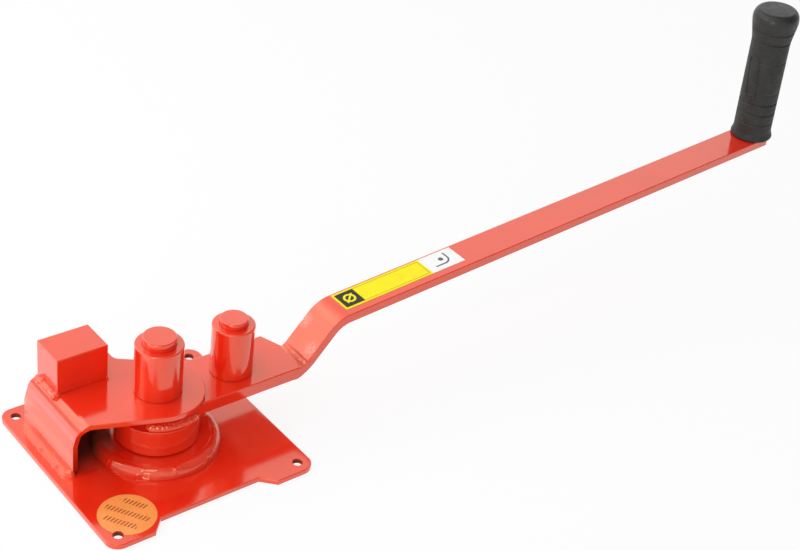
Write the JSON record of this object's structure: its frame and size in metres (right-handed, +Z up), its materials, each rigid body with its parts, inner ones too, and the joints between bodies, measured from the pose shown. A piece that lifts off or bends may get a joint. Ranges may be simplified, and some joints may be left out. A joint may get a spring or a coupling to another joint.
{
  "type": "manual rebar bender",
  "caption": "Bench-mounted hand bender for reinforcing bar: bolt-down base with a stop block on a bent bracket, a centre roller and a pivoting lever with a bending roller and rubber grip.",
  "frame": {"origin": "pivot axis on the underside of the base plate, which is also the centre of the four bolt holes", "axes": "+X from the pivot towards the handle with the lever as in the picture, +Y away from the operator towards the stop block, +Z up along the post"},
  "size_m": [0.8494, 0.2, 0.2812],
  "materials": {
    "red_paint": "glossy sprayed enamel",
    "grip_rubber": "matt moulded rubber",
    "label_yellow": "printed film",
    "label_black": "printed film",
    "label_white": "printed film",
    "label_orange": "printed film"
  },
  "bodies": {
    "base": {"base_plate": "red_paint", "post_root_weld": "red_paint", "pivot_flange": "red_paint", "flange_weld": "red_paint", "centre_post": "red_paint", "lower_thrust_washer": "red_paint", "bracket": "red_paint", "bracket_foot_weld": "red_paint", "tongue_rib": "red_paint", "rib_weld_near": "red_paint", "rib_weld_far": "red_paint", "stop_block": "red_paint", "stop_block_weld": "red_paint", "stop_block_tack": "red_paint", "round_label": "label_orange"},
    "lever": {"pivot_hub": "red_paint", "arm_plate": "red_paint", "hub_weld_near": "red_paint", "hub_weld_far": "red_paint", "upper_thrust_washer": "red_paint", "bending_pin": "red_paint", "bending_pin_weld": "red_paint", "lever_bar": "red_paint", "lever_weld": "red_paint", "handle_rod": "red_paint", "handle_rod_weld": "red_paint", "handle_grip": "grip_rubber", "long_label": "label_yellow", "symbol_tile": "label_black", "plain_label": "label_white"},
    "centre_roller": {"centre_sleeve": "red_paint"},
    "bending_roller": {"bending_sleeve": "red_paint"}
  },
  "joints": [
    {"name": "lever_pivot", "type": "hinge", "parent": "base", "child": "lever", "pos_m": [0, 0, 0.0475], "axis": [0, 0, 1], "range_deg": [-147, 83]},
    {"name": "centre_roller_spin", "type": "hinge", "parent": "base", "child": "centre_roller", "pos_m": [0, 0, 0.084], "axis": [0, 0, 1], "continuous": true},
    {"name": "bending_roller_spin", "type": "hinge", "parent": "lever", "child": "bending_roller", "pos_m": [0.074, 0, 0.078], "axis": [0, 0, 1], "continuous": true}
  ]
}
